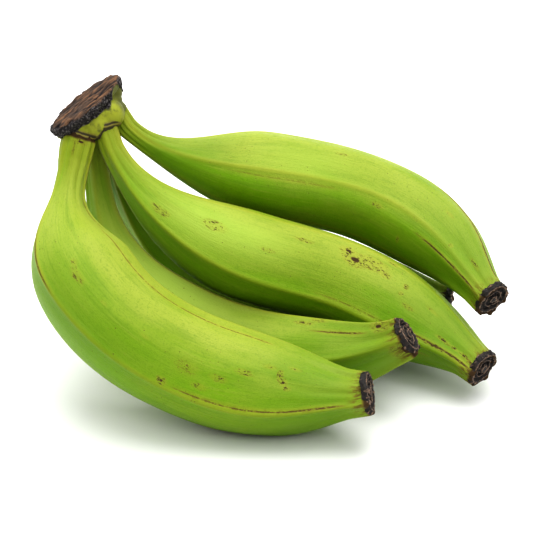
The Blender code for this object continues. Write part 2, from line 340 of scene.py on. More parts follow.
class Shader:
    """A node material with one Principled shader."""

    def __init__(self, name):
        self.material = bpy.data.materials.new(name)
        self.material.use_nodes = True
        self.tree = self.material.node_tree
        self.surface = self.tree.nodes["Principled BSDF"]

    def feed(self, socket, value):
        if isinstance(value, Value):
            self.tree.links.new(value.socket, socket)
        else:
            socket.default_value = value

    def add(self, kind, settings=None, sockets=None, out=0):
        """A node of that type, with its settings and the values or links of its sockets."""
        node = self.tree.nodes.new(kind)
        for key, value in (settings or {}).items():
            setattr(node, key, value)
        for key, value in (sockets or {}).items():
            self.feed(node.inputs[key], value)
        return Value(self, node.outputs[out])

    def maths(self, operation, *values):
        return self.add("ShaderNodeMath", {"operation": operation}, dict(enumerate(values)))

    def attribute(self, name, out="Fac"):
        return self.add("ShaderNodeAttribute", {"attribute_name": name}, out=out)

    def stretch(self, vector, *scale):
        """The vector scaled along each axis: a pattern on it is long where the scale is small."""
        return self.add(
            "ShaderNodeMapping", {"vector_type": "POINT"}, {"Vector": vector, "Scale": scale})

    def clouds(self, vector, scale, detail=3.0, roughness=0.55):
        """Noise from 0 to 1, mostly near 0.5."""
        return self.add("ShaderNodeTexNoise", None, {
            "Vector": vector, "Scale": scale, "Detail": detail, "Roughness": roughness})

    def most(self, *values):
        """The greatest of the values."""
        first, *others = values
        for other in others:
            first = self.maths("MAXIMUM", first, other)
        return first

    def blend(self, factor, first, second):
        """Goes from the first colour to the second as the factor goes from 0 to 1."""
        return self.add(
            "ShaderNodeMix", {"data_type": "RGBA"}, {0: factor, 6: first, 7: second}, out=2)

    def coat(self, colour, *coats):
        """Lays each coat's tint over the colour in turn, as thick as its factor."""
        for factor, tint in coats:
            colour = self.blend(factor, colour, tint)
        return colour

    def bump(self, height, distance, strength):
        return self.add("ShaderNodeBump", None, {
            "Height": height, "Distance": distance, "Strength": strength})

    def finish(self, **sockets):
        """Feeds the Principled shader's sockets, with _ for a space in their names."""
        for key, value in sockets.items():
            self.feed(self.surface.inputs[key.replace("_", " ")], value)
        return self.material


def peel_material(settings):
    """Waxy green peel: painted light and painted shade on its two sides, fine streaks, straw ridges,
    brown marks.
    """
    made = Shader("plantain peel")
    grain = made.attribute("grain", "Vector")
    along = made.attribute("along")
    # painted light and shade: 1 on the side painted lighter, 0 on the side painted in shade
    painted_light = made.attribute("painted_light")
    # painted light above 0 and painted shade below 0, partly the peel's own tone
    tone_and_painted_light = made.attribute("tone_and_painted_light")

    # patterns, all longer along the finger than across it
    zones = made.clouds(made.stretch(grain, 1.0, 1.0, 0.35), 1.1, 2.0)
    bands = made.clouds(made.stretch(grain, 1.0, 1.0, 0.10), 4.5, 3.0)
    streaks = made.clouds(made.stretch(grain, 1.0, 1.0, 0.05), 22.0, 3.0, 0.6)
    mottle = made.clouds(made.stretch(grain, 1.0, 1.0, 0.7), 7.0, 6.0, 0.70)
    fine = made.clouds(made.stretch(grain, 1.0, 1.0, 0.5), 42.0, 3.0, 0.6)

    # greens: painted light and painted shade, lighter on the side that faces the light and greener
    # on the side away from it, each mixed with zones of the peel's own green and lime
    painted_shaded_peel = made.blend(zones.rise(0.34, 0.60) * 0.5, settings.painted_shade, settings.green)
    painted_lit_peel = made.blend(zones.rise(0.28, 0.54), settings.green, settings.lime)
    crest = made.attribute("ridge").fall(0.0, 2.6)
    neck = along.fall(0.00, 0.14)
    tip = along.rise(0.93, 1.0)
    colour = made.coat(
        made.blend(painted_light, painted_shaded_peel, painted_lit_peel),
        (bands.rise(0.52, 0.74) * 0.32, settings.deep),
        (streaks.rise(0.50, 0.72) * 0.36, settings.lime),
        (streaks.fall(0.30, 0.46) * 0.22, settings.deep),
        (mottle.rise(0.52, 0.72) * 0.26, settings.deep),
        (mottle.fall(0.30, 0.48) * 0.18, settings.lime),
        (fine.rise(0.52, 0.66) * 0.34, settings.deep),
        # painted light (pale) and painted shade (deep green) from the patches, partly the peel's own
        # tone
        (made.most(tone_and_painted_light, 0.0), settings.pale),
        (made.most(0.0 - tone_and_painted_light, 0.0), settings.deep),
        (crest * (0.10 + 0.35 * bands), settings.straw),
        (neck * (0.10 + 0.45 * bands), settings.straw),
        # darker towards the tip: partly the tip's own deeper green, partly painted shade on the ends
        # that face away from the light
        (along.rise(0.62, 0.95) * 0.50, settings.deep),
        (tip * (0.05 + 0.30 * bands), settings.straw),
    )

    # brown lines: broken, wandering, with a haze at their sides
    gap = made.attribute("gap")
    line = made.attribute("line")
    broken = made.clouds(grain, 6.0, 4.0, 0.7)
    wander = gap + 1.6 * (broken - 0.5)
    brown_line = wander.fall(0.20, 0.75) * line * broken.rise(0.34, 0.50)
    brown_haze = gap.fall(0.3, 2.0) * line * mottle.rise(0.45, 0.62) * 0.40

    # scuffs: scratched all over, and solid at the heart of a dark one
    scuff = made.attribute("scuff")
    scratch = made.clouds(made.stretch(grain, 1.0, 1.0, 0.35), 34.0, 4.0, 0.75)
    patchy = made.clouds(grain, 11.0, 2.0)
    scratched = scuff.rise(0.10, 0.50) * scratch.rise(0.52, 0.56) * patchy.rise(0.44, 0.52)
    solid = scuff.rise(0.74, 0.84)
    stain = scuff * 0.20

    # freckles here and there, and browned edges at both ends
    specks = made.add("ShaderNodeTexVoronoi", {"feature": "F1"}, {
        "Vector": made.stretch(grain, 1.0, 1.0, 0.6), "Scale": 12.0, "Randomness": 1.0})
    chance = made.clouds(made.stretch(grain, 1.0, 1.0, 0.6), 2.6, 3.0, 0.6)
    freckles = specks.fall(0.05, 0.12) * chance.rise(0.46, 0.57) * 0.85
    tip_edge = along.rise(0.955, 1.0) * mottle.rise(0.44, 0.60) * 0.80
    tip_rim = along.rise(0.990, 0.998)
    neck_scar = along.fall(-0.022, -0.012)

    brown = made.most(
        brown_line, brown_haze, scratched, solid, stain, freckles, tip_edge, tip_rim, neck_scar)
    halo = made.most(scuff.rise(0.05, 0.45) * 0.22, gap.fall(0.4, 2.6) * line * 0.30)
    colour = made.coat(
        colour,
        (halo, settings.straw),
        (brown.rise(0.0, 0.60) * 0.8, settings.ochre),
        (brown.rise(0.40, 1.0), settings.bruise),
    )
    rough = settings.gloss + 0.12 * mottle + 0.35 * brown
    pores = made.clouds(grain, 60.0, 2.0)
    relief = made.bump(pores + 1.2 * streaks + fine - 1.2 * brown, 0.00032, 0.50)
    return made.finish(Base_Color=colour, Roughness=rough, Normal=relief, Specular_IOR_Level=0.20)


def blossom_material(settings):
    """Blackish, shrivelled tissue, paler on its worn edges."""
    made = Shader("dried blossom")
    place = made.add("ShaderNodeTexCoord", out="Object")
    worn = made.attribute("worn")
    grit = made.clouds(place, 900.0, 4.0, 0.65)
    blotch = made.clouds(place, 260.0, 3.0)
    colour = made.coat(
        settings.dark,
        (worn.rise(0.35, 0.90) * grit.rise(0.30, 0.62), settings.edge),
        (blotch.rise(0.55, 0.75) * 0.15, settings.edge),
    )
    relief = made.bump(grit, 0.0004, 0.6)
    return made.finish(Base_Color=colour, Roughness=0.62 + 0.25 * grit, Normal=relief)


def crown_material(settings):
    """Fibrous cut face, black crusty rim, flesh like the peel, and scars round the necks."""
    made = Shader("crown")
    place = made.add("ShaderNodeTexCoord", out="Object")
    face = made.attribute("face")
    crusty = made.attribute("crusty")
    fibres = made.attribute("fibres", "Vector")
    grooves = made.attribute("grooves")
    grit = made.clouds(place, 900.0, 4.0, 0.65)
    blotch = made.clouds(place, 190.0, 3.0)

    threads = made.clouds(made.stretch(fibres, 0.10, 1.0, 1.0), 1500.0, 4.0, 0.65)
    bundles = made.clouds(made.stretch(fibres, 0.16, 1.0, 1.0), 420.0, 3.0, 0.6)
    cut = made.coat(
        settings.fibre,
        (bundles.rise(0.46, 0.62), settings.rust),
        (threads.fall(0.36, 0.50) * 0.7, settings.crust),
        (grooves.fall(-0.35, 0.10), settings.crust),
        (grooves.rise(0.20, 0.75) * 0.6, settings.rust),
    )
    # the rim's black crust, with grey on its bumps that is partly ash and partly painted glints
    crust = made.blend(grit.rise(0.48, 0.66), settings.crust, settings.ash_and_glint)

    # a scar is two dark rings that wander a little, on a rusty band
    ring = made.attribute("scar") + 2.0 * (blotch - 0.5)
    rings = ring.fall(0.9, 1.5) + ring.rise(1.9, 2.2) * ring.fall(2.9, 3.5)
    flesh = made.coat(
        settings.olive,
        (made.attribute("cushion") * blotch.rise(0.22, 0.50), settings.flesh),
        (blotch.rise(0.58, 0.75) * 0.6, settings.olive),
        (ring.fall(3.0, 4.4) * 0.55, settings.rust),
        (rings * 0.85, settings.crust),
    )
    colour = made.coat(flesh, (crusty, crust), (face, cut))
    rough = 0.50 + 0.35 * made.most(face, crusty)
    relief = made.bump(grit + threads * face, 0.0005, 0.5)
    return made.finish(Base_Color=colour, Roughness=rough, Normal=relief, Specular_IOR_Level=0.25)


# ---------------------------------------------------------------- mesh kit

def select_only(obj):
    bpy.ops.object.select_all(action="DESELECT")
    obj.select_set(True)
    bpy.context.view_layer.objects.active = obj


def merged_copy(node, name):
    """A merged copy of a construction node's mesh, selected and active."""
    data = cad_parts[node].data.copy()
    data.materials.clear()
    copy = bpy.data.objects.new(name, data)
    bpy.context.scene.collection.objects.link(copy)
    select_only(copy)
    bpy.ops.mesh.customdata_custom_splitnormals_clear()
    bpy.ops.object.mode_set(mode="EDIT")
    bpy.ops.mesh.select_all(action="SELECT")
    bpy.ops.mesh.remove_doubles(threshold=MERGE)
    bpy.ops.object.mode_set(mode="OBJECT")
    return copy


def read_vectors(mesh, key):
    flat = np.zeros(len(mesh.vertices) * 3, np.float32)
    mesh.vertices.foreach_get(key, flat)
    return flat.reshape(-1, 3).astype(float)


def points_of(mesh):
    return read_vectors(mesh, "co")


def normals_of(mesh):
    return read_vectors(mesh, "normal")


def mean_distance(points, middle):
    return float(np.linalg.norm(points - middle, axis=1).mean())


def set_points(mesh, points):
    mesh.vertices.foreach_set("co", points.astype(np.float32).ravel())
    mesh.update()


def paint(mesh, name, values):
    """Keeps one number, or one vector, for each vertex as an attribute of the mesh."""
    kind, key = ("FLOAT", "value") if values.ndim == 1 else ("FLOAT_VECTOR", "vector")
    layer = mesh.attributes.get(name) or mesh.attributes.new(name, kind, "POINT")
    layer.data.foreach_set(key, values.astype(np.float32).ravel())


def painted(mesh, name):
    values = np.zeros(len(mesh.vertices), np.float32)
    mesh.attributes[name].data.foreach_get("value", values)
    return values.astype(float)


def select_where(mesh, vertices=None, edges=None, faces=None):
    """Selects just those elements, given as a yes or no for each, in object mode."""
    for items, chosen in ((mesh.vertices, vertices), (mesh.edges, edges), (mesh.polygons, faces)):
        flags = np.zeros(len(items), bool) if chosen is None else np.asarray(chosen, bool)
        items.foreach_set("select", flags)


def edit(mode, *steps):
    """Runs the steps in edit mode, with that kind of element selected."""
    bpy.context.tool_settings.mesh_select_mode = [mode == kind for kind in ("VERT", "EDGE", "FACE")]
    bpy.ops.object.mode_set(mode="EDIT")
    for step in steps:
        step()
    bpy.ops.object.mode_set(mode="OBJECT")


def join_to(obj, parts):
    """Joins the parts to the object, which stays selected and active."""
    bpy.ops.object.select_all(action="DESELECT")
    for part in parts:
        part.select_set(True)
    obj.select_set(True)
    bpy.context.view_layer.objects.active = obj
    bpy.ops.object.join()


def apply_modifier(obj, kind, **settings):
    """Adds a modifier of that kind, with its settings, and applies it."""
    modifier = obj.modifiers.new(kind.lower(), kind)
    for key, value in settings.items():
        setattr(modifier, key, value)
    select_only(obj)
    bpy.ops.object.modifier_apply(modifier=modifier.name)


def neighbours_of(mesh):
    """For each vertex, the numbers of the vertices that an edge joins it to."""
    around = [set() for _ in mesh.vertices]
    for edge in mesh.edges:
        a, b = edge.vertices
        around[a].add(b)
        around[b].add(a)
    return around


def smooth_rise(values, low, high):
    """0 up to low, 1 from high on, with a smooth rise between."""
    share = np.clip((values - low) / (high - low), 0.0, 1.0)
    return share * share * (3 - 2 * share)


def wrinkle(points, scale, seed):
    """Soft noise between about -1 and 1. The scale is one number, or one for each axis."""
    scaled = points * np.asarray(scale) + seed
    return np.array([noise.noise(Vector(point)) for point in scaled])


def put_in_place(obj, look):
    """Shades a finished piece, gives it its material and fastens it to the object."""
    obj.data.materials.clear()
    obj.data.materials.append(look)
    select_only(obj)
    bpy.ops.object.shade_smooth()
    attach(obj, BODY)


# ---------------------------------------------------------------- finger

def facing(points, ahead):
    """The normal of the plane that the points lie in, on the side of the direction ahead."""
    _, _, axes = np.linalg.svd(points - points.mean(0))
    return Vector(axes[2] if axes[2] @ ahead > 0 else -axes[2])


def match_ring(before, after):
    """For each point of one section, the number of its follower in the next one."""
    ahead = after.mean(0) - before.mean(0)
    swing = facing(before, ahead).rotation_difference(facing(after, ahead))
    swung = (before - before.mean(0)) @ np.array(swing.to_matrix()).T + after.mean(0)
    return [int(np.argmin(np.linalg.norm(after - point, axis=1))) for point in swung]


def walk_rings(mesh):
    """A merged finger's sections as rows of vertex numbers, from the neck on, and the tip's pole."""
    around = neighbours_of(mesh)
    places = points_of(mesh)
    fans = [i for i, others in enumerate(around) if len(others) == SIDES]
    pole = next(i for i in fans if all(len(around[j] & around[i]) == 2 for j in around[i]))
    ring = [min(around[pole])]
    while len(ring) < SIDES:
        ring.append(next(i for i in around[ring[-1]] & around[pole] if i not in ring))
    rings = [ring]
    seen = set(ring) | {pole}
    while len(seen) < len(mesh.vertices):
        ahead = list({j for i in rings[-1] for j in around[i]} - seen)
        rings.append([ahead[j] for j in match_ring(places[rings[-1]], places[ahead])])
        seen |= set(ahead)
    return rings[::-1], pole


def turn_to_roll(rings, places, roll):
    """Starts each section's count at its main ridge, and lets it run the way the roll does."""
    middles = places[np.array(rings)].mean(1)
    axis = Vector(middles[1] - middles[0]).normalized()
    turn = Vector((0, 0, 1)).rotation_difference(axis)
    turn = turn @ Matrix.Rotation(math.radians(roll), 3, "Z").to_quaternion()
    outward = places[rings[0]] - middles[0]
    first = np.array(turn @ Vector((1, 0, 0)))
    second = np.array(turn @ Vector((0, 1, 0)))
    start = int(np.argmax(outward @ first))
    forward = (outward[(start + 1) % SIDES] - outward[(start - 1) % SIDES]) @ second > 0
    order = [(start + (i if forward else -i)) % SIDES for i in range(SIDES)]
    return [[ring[i] for i in order] for ring in rings]


class Sections:
    """A finger's spine and sections, measured on its construction mesh."""

    def __init__(self, mesh, roll):
        places = points_of(mesh)
        rings, self.tip_pole = walk_rings(mesh)
        self.rings = turn_to_roll(rings, places, roll)
        self.middles = places[np.array(self.rings)].mean(1)
        steps = np.linalg.norm(np.diff(self.middles, axis=0), axis=1)
        self.reach = np.concatenate(([0.0], np.cumsum(steps)))[:SKIN_SECTIONS]
        self.last_step = self.reach[-1] - self.reach[-2]
        self.skin_length = self.reach[-1] + TIP_REACH
        self.neck_axis = Vector(self.middles[1] - self.middles[0]).normalized()
        self.neck_radius = mean_distance(places[self.rings[0]], self.middles[0])
        end = places[self.rings[SKIN_SECTIONS - 1]]
        end_middle = self.middles[SKIN_SECTIONS - 1]
        ahead = end_middle - self.middles[SKIN_SECTIONS - 3]
        self.tip_axis = (facing(end, ahead) + Vector(TIP_LEAN)).normalized()
        self.tip_middle = Vector(end_middle) + self.tip_axis * TIP_REACH
        self.tip_radius = mean_distance(end, end_middle)


def number_sections(mesh, sections):
    """Paints each vertex with its section's number and its direction round the section."""
    count = len(mesh.vertices)
    ring = np.zeros(count)
    cosine = np.zeros(count)
    sine = np.zeros(count)
    for k, row in enumerate(sections.rings):
        for i, vertex in enumerate(row):
            ring[vertex] = k
            cosine[vertex] = math.cos(math.tau * i / SIDES)
            sine[vertex] = math.sin(math.tau * i / SIDES)
    ring[sections.tip_pole] = len(sections.rings)
    paint(mesh, "ring", ring)
    paint(mesh, "cosine", cosine)
    paint(mesh, "sine", sine)


def degrees_round(mesh):
    """For each vertex, the degrees round its section from the main ridge."""
    return np.degrees(np.arctan2(painted(mesh, "sine"), painted(mesh, "cosine")))


def gap_between(first, second):
    """Degrees from one direction to another, the short way round."""
    return np.abs((first - second + 180) % 360 - 180)


def edge_ends(mesh, values):
    """The values at the first end and at the second end of each edge."""
    pairs = np.zeros(len(mesh.edges) * 2, np.int32)
    mesh.edges.foreach_get("vertices", pairs)
    return values[pairs[0::2]], values[pairs[1::2]]


def dissolve_diagonals(peel):
    """Turns the triangles between the sections back into quads."""
    mesh = peel.data
    near, far = edge_ends(mesh, painted(mesh, "ring"))
    left, right = edge_ends(mesh, degrees_round(mesh))
    clear_of_pole = np.maximum(near, far) < ALL_SECTIONS - 0.5
    diagonal = clear_of_pole & (np.abs(near - far) > 0.5) & (gap_between(left, right) > 1.0)
    select_where(mesh, edges=diagonal)
    edit("EDGE", lambda: bpy.ops.mesh.dissolve_edges(use_verts=False))


def open_tip(peel):
    """Takes off the dried end, past the last section of the skin."""
    mesh = peel.data
    select_where(mesh, vertices=painted(mesh, "ring") > SKIN_SECTIONS - 0.5)
    edit("VERT", lambda: bpy.ops.mesh.delete(type="VERT"))


def number_added(mesh, number):
    """Gives the vertices that were just added, which are still selected, their section's number."""
    ring = painted(mesh, "ring")
    added = np.array([vertex.select for vertex in mesh.vertices])
    ring[added] = number
    paint(mesh, "ring", ring)


def flatten_selected(mesh, middle, normal):
    """Slides the selected vertices along the normal into the plane through the middle."""
    for vertex in mesh.vertices:
        if vertex.select:
            vertex.co -= normal * (vertex.co - middle).dot(normal)


def fold_tip_in(peel, sections):
    """Carries the skin on to a flat, leaning end, turns its edge in there and closes it inside."""
    mesh = peel.data
    middle = tuple(sections.tip_middle)

    def step(ahead, width):
        move = tuple(sections.tip_axis * ahead)
        bpy.ops.mesh.extrude_region_move(TRANSFORM_OT_translate={"value": move})
        bpy.ops.transform.resize(value=(width, width, width), center_override=middle)

    def turn_edge_in():
        for ahead, width in TIP_TURNS:
            step(ahead, width)
        bpy.ops.mesh.edge_face_add()
        bpy.ops.mesh.poke()

    select_where(mesh, vertices=painted(mesh, "ring") > SKIN_SECTIONS - 1.1)
    edit("VERT", lambda: step(TIP_REACH, TIP_NARROWS))
    number_added(mesh, SKIN_SECTIONS - 1 + TIP_REACH / sections.last_step)
    flatten_selected(mesh, sections.tip_middle, sections.tip_axis)
    select_where(mesh, vertices=painted(mesh, "ring") > SKIN_SECTIONS - 0.9)
    edit("VERT", turn_edge_in)


def reach_into_crown(peel, sections, reach):
    """Carries the neck on past its first section, into the crown."""
    mesh = peel.data
    select_where(mesh, vertices=painted(mesh, "ring") < 0.01)
    back = tuple(sections.neck_axis * -reach)
    edit("VERT", lambda: bpy.ops.mesh.extrude_region_move(TRANSFORM_OT_translate={"value": back}))
    number_added(mesh, -reach / sections.reach[1])


def add_loops(peel, lower, cuts):
    """More sections between one section and the next."""
    mesh = peel.data
    near, far = edge_ends(mesh, painted(mesh, "ring"))
    low = np.minimum(near, far)
    high = np.maximum(near, far)
    select_where(mesh, edges=(np.abs(low - lower) < 0.1) & (np.abs(high - lower - 1) < 0.1))
    edit("EDGE", lambda: bpy.ops.mesh.subdivide(number_cuts=cuts))


def crease_ridges(peel, ridges, settings):
    """Creases the lengthwise edges along each ridge, as sharp as the ridge is."""
    mesh = peel.data
    near, far = edge_ends(mesh, painted(mesh, "ring"))
    left, right = edge_ends(mesh, degrees_round(mesh))
    lengthwise = np.abs(near - far) > 0.05
    for place, strength in ridges:
        on_ridge = (gap_between(left, place) < 3) & (gap_between(right, place) < 3)
        select_where(mesh, edges=lengthwise & on_ridge)
        sharp = settings.crease * strength
        edit("EDGE", lambda: bpy.ops.transform.edge_crease(value=sharp))


def survey(mesh, sections):
    """For each vertex: metres along, share of the length, degrees round, metres from the spine."""
    ring = painted(mesh, "ring")
    numbers = np.arange(SKIN_SECTIONS)
    middles = sections.middles[:SKIN_SECTIONS]
    before = np.minimum(ring, 0)
    beyond = np.maximum(ring - SKIN_SECTIONS + 1, 0)
    metres = np.interp(ring, numbers, sections.reach)
    metres += before * sections.reach[1] + beyond * sections.last_step
    middle = np.stack([np.interp(ring, numbers, middles[:, axis]) for axis in range(3)], 1)
    middle += before[:, None] * (middles[1] - middles[0])
    middle += beyond[:, None] * (middles[-1] - middles[-2])
    radius = np.linalg.norm(points_of(mesh) - middle, axis=1)
    return metres, metres / sections.skin_length, degrees_round(mesh), radius


def ridge_distance(degrees, radius, ridges):
    """Metres from each vertex to its nearest ridge, and that ridge's sharpness."""
    nearest = np.full(len(degrees), 1.0)
    sharpness = np.zeros(len(degrees))
    for place, strength in ridges:
        away = np.radians(gap_between(degrees, place)) * radius
        sharpness = np.where(away < nearest, strength, sharpness)
        nearest = np.minimum(away, nearest)
    return nearest, sharpness


# shares of the length between which the folds and the crests come and go
NECK_FOLDS_END = (0.04, 0.22)
CRESTS_START = (0.06, 0.20)
TIP_FOLDS_START = (0.80, 0.96)
FLANK = 0.006              # how far beside a ridge the skin dips
END_DIP = 0.0004           # how far the skin sinks between the ridges at both ends


def peel_height(grain, at, nearest, sharpness, design, settings, seed):
    """How far each vertex is raised: crests, waves, folds and the neck's swelling."""
    metres, share, degrees, _ = at
    crest = np.exp(-(nearest / settings.crest_width) ** 2)
    crest -= 0.35 * np.exp(-(nearest / FLANK - 1) ** 2 * 3)
    height = settings.crest * crest * sharpness * smooth_rise(share, *CRESTS_START)
    height += settings.wave * wrinkle(grain, (1.6, 1.6, 0.30), seed)
    height += settings.wave * 0.6 * wrinkle(grain, (3.5, 3.5, 0.8), seed + 7)
    tip = smooth_rise(share, *TIP_FOLDS_START)
    ends = tip + 1 - smooth_rise(share, *NECK_FOLDS_END)
    height += settings.fold * (ends + 0.6 * tip) * wrinkle(grain, (3.2, 3.2, 0.25), seed + 3)
    height -= END_DIP * ends * smooth_rise(nearest, 0.0, 0.004)
    _, swelling, side, length = design["neck"]
    toward = np.clip(np.cos(np.radians(degrees - side)), 0, 1)
    height += swelling / 1000 * toward * (1 - smooth_rise(metres, 0.0, length / 1000))
    return height


def work_peel(peel, sections, design, settings, seed):
    """Raises the crests, presses in the folds and the waves, and paints the peel's attributes."""
    mesh = peel.data
    at = survey(mesh, sections)
    metres, share, degrees, radius = at
    angle = np.radians(degrees)
    grain = np.stack([np.cos(angle), np.sin(angle), metres / PEEL_SCALE + 20.0 * seed], 1)
    nearest, sharpness = ridge_distance(degrees, radius, design["ridges"])
    height = peel_height(grain, at, nearest, sharpness, design, settings, seed)
    # painted light and shade: how far each vertex faces the direction of the painted light, with a
    # little noise
    light_facing = normals_of(mesh) @ np.array(PAINTED_LIGHT_SIDE)
    light_facing += 0.12 * wrinkle(grain, (1.1, 1.1, 0.4), seed + 5)
    places = points_of(mesh) + normals_of(mesh) * height[:, None]
    places[:, 2] = np.maximum(places[:, 2], CAD_BOX[0].z)
    set_points(mesh, places)
    gap, darkness = nearest_line(share, degrees, radius, design["lines"])
    # painted light and shade: 1 where the peel is painted lighter, 0 where it is painted in shade
    paint(mesh, "painted_light", smooth_rise(light_facing, -0.25, 0.85))
    paint(mesh, "grain", grain)
    paint(mesh, "along", share)
    paint(mesh, "ridge", nearest * 1000)
    paint(mesh, "gap", gap * 1000)
    paint(mesh, "line", darkness)
    paint(mesh, "scuff", patches(metres, degrees, radius, design["scuffs"], sections).max(0))
    # patches of painted light and painted shade, partly the peel's own tone
    paint(mesh, "tone_and_painted_light", patches(metres, degrees, radius, design["painted_light_and_tone_patches"], sections).sum(0))


def nearest_line(share, degrees, radius, lines):
    """Metres from each vertex to its nearest brown line, and that line's darkness there."""
    nearest = np.full(len(share), 1.0)
    darkness = np.zeros(len(share))
    for place, start, end, strength in lines:
        away = np.radians(gap_between(degrees, place)) * radius
        inside = smooth_rise(share, start - 0.05, start + 0.05)
        inside *= 1 - smooth_rise(share, end - 0.03, end + 0.02)
        closer = (away < nearest) & (inside > 0)
        darkness = np.where(closer, strength * inside, darkness)
        nearest = np.where(closer, away, nearest)
    return nearest, darkness


def patches(metres, degrees, radius, spots, sections):
    """The strength of each soft-edged spot at each vertex: a row for each spot."""
    rows = []
    for place, direction, half_length, half_width, strength in spots:
        along = (metres - place * sections.skin_length) * 1000 / half_length
        across = np.radians(gap_between(degrees, direction)) * radius * 1000 / half_width
        rows.append(strength * np.exp(-(along ** 2 + across ** 2)))
    return np.array(rows)


def make_peel(node, seed, settings, look):
    """Makes a finger's peel from its construction mesh, and returns what was measured there."""
    design = FINGERS[node]
    peel = merged_copy(node, node.replace("plantain", "peel"))
    sections = Sections(peel.data, design["roll"])
    number_sections(peel.data, sections)
    dissolve_diagonals(peel)
    open_tip(peel)
    reach_into_crown(peel, sections, design["neck"][0] / 1000)
    add_loops(peel, 0, cuts=3)
    add_loops(peel, SKIN_SECTIONS - 2, cuts=2)
    fold_tip_in(peel, sections)
    crease_ridges(peel, design["ridges"], settings)
    apply_modifier(peel, "SUBSURF", levels=3, render_levels=3)
    work_peel(peel, sections, design, settings, seed)
    put_in_place(peel, look)
    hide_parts(node)
    return sections


# ---------------------------------------------------------------- dried blossom end

BLOSSOM_THICKNESS = 0.0032
BLOSSOM_SUNK = 0.0017      # how deep it sits in the peel's end
BLOSSOM_WIDTH = 0.96       # its radius, as a share of the radius of the peel's end
BLOSSOM_VOXEL = 0.00040    # grid of the remesh that grows its parts together
# its face, from the rim inwards: how wide a step is, as a share of the radius, and how far it rises
BLOSSOM_STEPS = ((0.16, 0.0004), (0.07, -0.0020), (0.13, -0.0002), (0.05, 0.0016), (0.10, 0.0002),
                 (0.05, -0.0018), (0.12, -0.0002), (0.06, 0.0024), (0.08, 0.0003))
# what is worn pale: radius and width, as shares of the peel end's radius, and how worn
WORN_RIM = (0.88, 0.05, 1.0)
WORN_RINGS = ((0.50, 0.035, 0.9), (0.20, 0.06, 0.8))


def worn_ring(spread, radius, width, strength):
    """A soft ring: its strength at each place that is that far from the middle."""
    return strength * np.exp(-((spread - radius) / width) ** 2)


def add_knob(number, knobs, radius, seed):
    """A shrivelled knob on the rim, with a place and a size of its own."""
    turn = math.tau * (number + 0.35 * noise.noise(Vector((number * 3.7, seed, 1)))) / knobs
    size = radius * (0.15 + 0.11 * noise.noise(Vector((number * 5.3, seed, 2))))
    spot = (radius * math.cos(turn), radius * math.sin(turn), BLOSSOM_THICKNESS * 0.70)
    bpy.ops.mesh.primitive_ico_sphere_add(subdivisions=2, radius=size, location=spot)
    return bpy.context.object


def model_blossom(name, radius, knobs, seed):
    """A disc with a raised rim, a ring, a stub and knobs, round the origin and facing +Z."""
    bpy.ops.object.select_all(action="DESELECT")
    bpy.ops.mesh.primitive_cylinder_add(
        vertices=40, radius=radius, depth=BLOSSOM_THICKNESS,
        location=(0, 0, BLOSSOM_THICKNESS / 2))
    disc = bpy.context.object
    disc.name = name

    def step_inwards():
        for width, rise in BLOSSOM_STEPS:
            bpy.ops.mesh.inset(thickness=radius * width, depth=0)
            bpy.ops.transform.translate(value=(0, 0, rise))

    select_where(disc.data, faces=[face.normal.z > 0.9 for face in disc.data.polygons])
    edit("FACE", step_inwards)
    join_to(disc, [add_knob(number, knobs, radius, seed) for number in range(knobs)])
    apply_modifier(disc, "REMESH", mode="VOXEL", voxel_size=BLOSSOM_VOXEL)
    apply_modifier(disc, "SMOOTH", factor=0.5, iterations=2)
    return disc


def shrivel(disc, radius, settings, seed):
    """Crumples the blossom end and paints where its edges are worn pale."""
    mesh = disc.data
    places = points_of(mesh)
    spread = np.linalg.norm(places[:, :2], axis=1) / radius
    height = settings.crust * wrinkle(places, 420, seed * 11)
    height += 0.8 * settings.crust * wrinkle(places, 950, seed * 17)
    around = np.arctan2(places[:, 1], places[:, 0])
    swing = 1 + 0.04 * np.sin(2 * around + seed) + 0.03 * np.sin(3 * around + 2.3 * seed)
    places = places + normals_of(mesh) * height[:, None]
    places[:, :2] *= swing[:, None]
    set_points(mesh, places)
    worn = smooth_rise(height, 0.15 * settings.crust, 0.8 * settings.crust)
    above = smooth_rise(places[:, 2], 0.0, 0.002)
    worn = np.maximum(worn, worn_ring(spread, *WORN_RIM) * above)
    for ring in WORN_RINGS:
        worn = np.maximum(worn, worn_ring(spread, *ring))
    paint(mesh, "worn", worn)


def make_blossom(node, sections, seed, settings, look):
    """Models a finger's blossom end, turns it to the peel's end and sinks it in there."""
    name = node.replace("plantain", "blossom")
    disc = model_blossom(name, sections.tip_radius * BLOSSOM_WIDTH, settings.knobs, seed)
    shrivel(disc, sections.tip_radius, settings, seed)
    turn = sections.tip_axis.to_track_quat("Z", "Y")
    start = sections.tip_middle - sections.tip_axis * BLOSSOM_SUNK
    disc.data.transform(Matrix.Translation(start) @ turn.to_matrix().to_4x4())
    disc.data.update()
    put_in_place(disc, look)


# ---------------------------------------------------------------- crown

# flesh between the necks, in mm: along the cut face, across it, under it, and its radius
CROWN_FLESH = ((-4, -4, 14, 8.5), (5, -4, 13, 8.5), (-12, 0, 12, 8.0), (-3, 4, 15, 8.5),
               (6, 4, 14, 9.0), (11, 0, 10, 6.0), (14.5, 0, 7, 4.6))
COLLAR_TOP = 0.008         # how far under the cut face a collar's axis ends
COLLAR_WIDTHS = (1.07, 1.25)             # its widths at the neck and in the crown, in neck widths
COLLAR_START = -0.0004     # where it and its scar start, along the finger from its first section
FRONT_SCAR = -0.004        # the same for the scar of the front finger, which has no collar
SCAR_REACH = 1.45          # how far a scar reaches from the neck's axis, in neck radii
NO_SCAR = 20.0             # the scar attribute away from all necks, in mm
TUCK = 0.0016              # how far the flesh is drawn in to a neck at its scar
RIM_THICKNESS = 0.0008     # how thick a slice of the block counts as the rim of its cut face


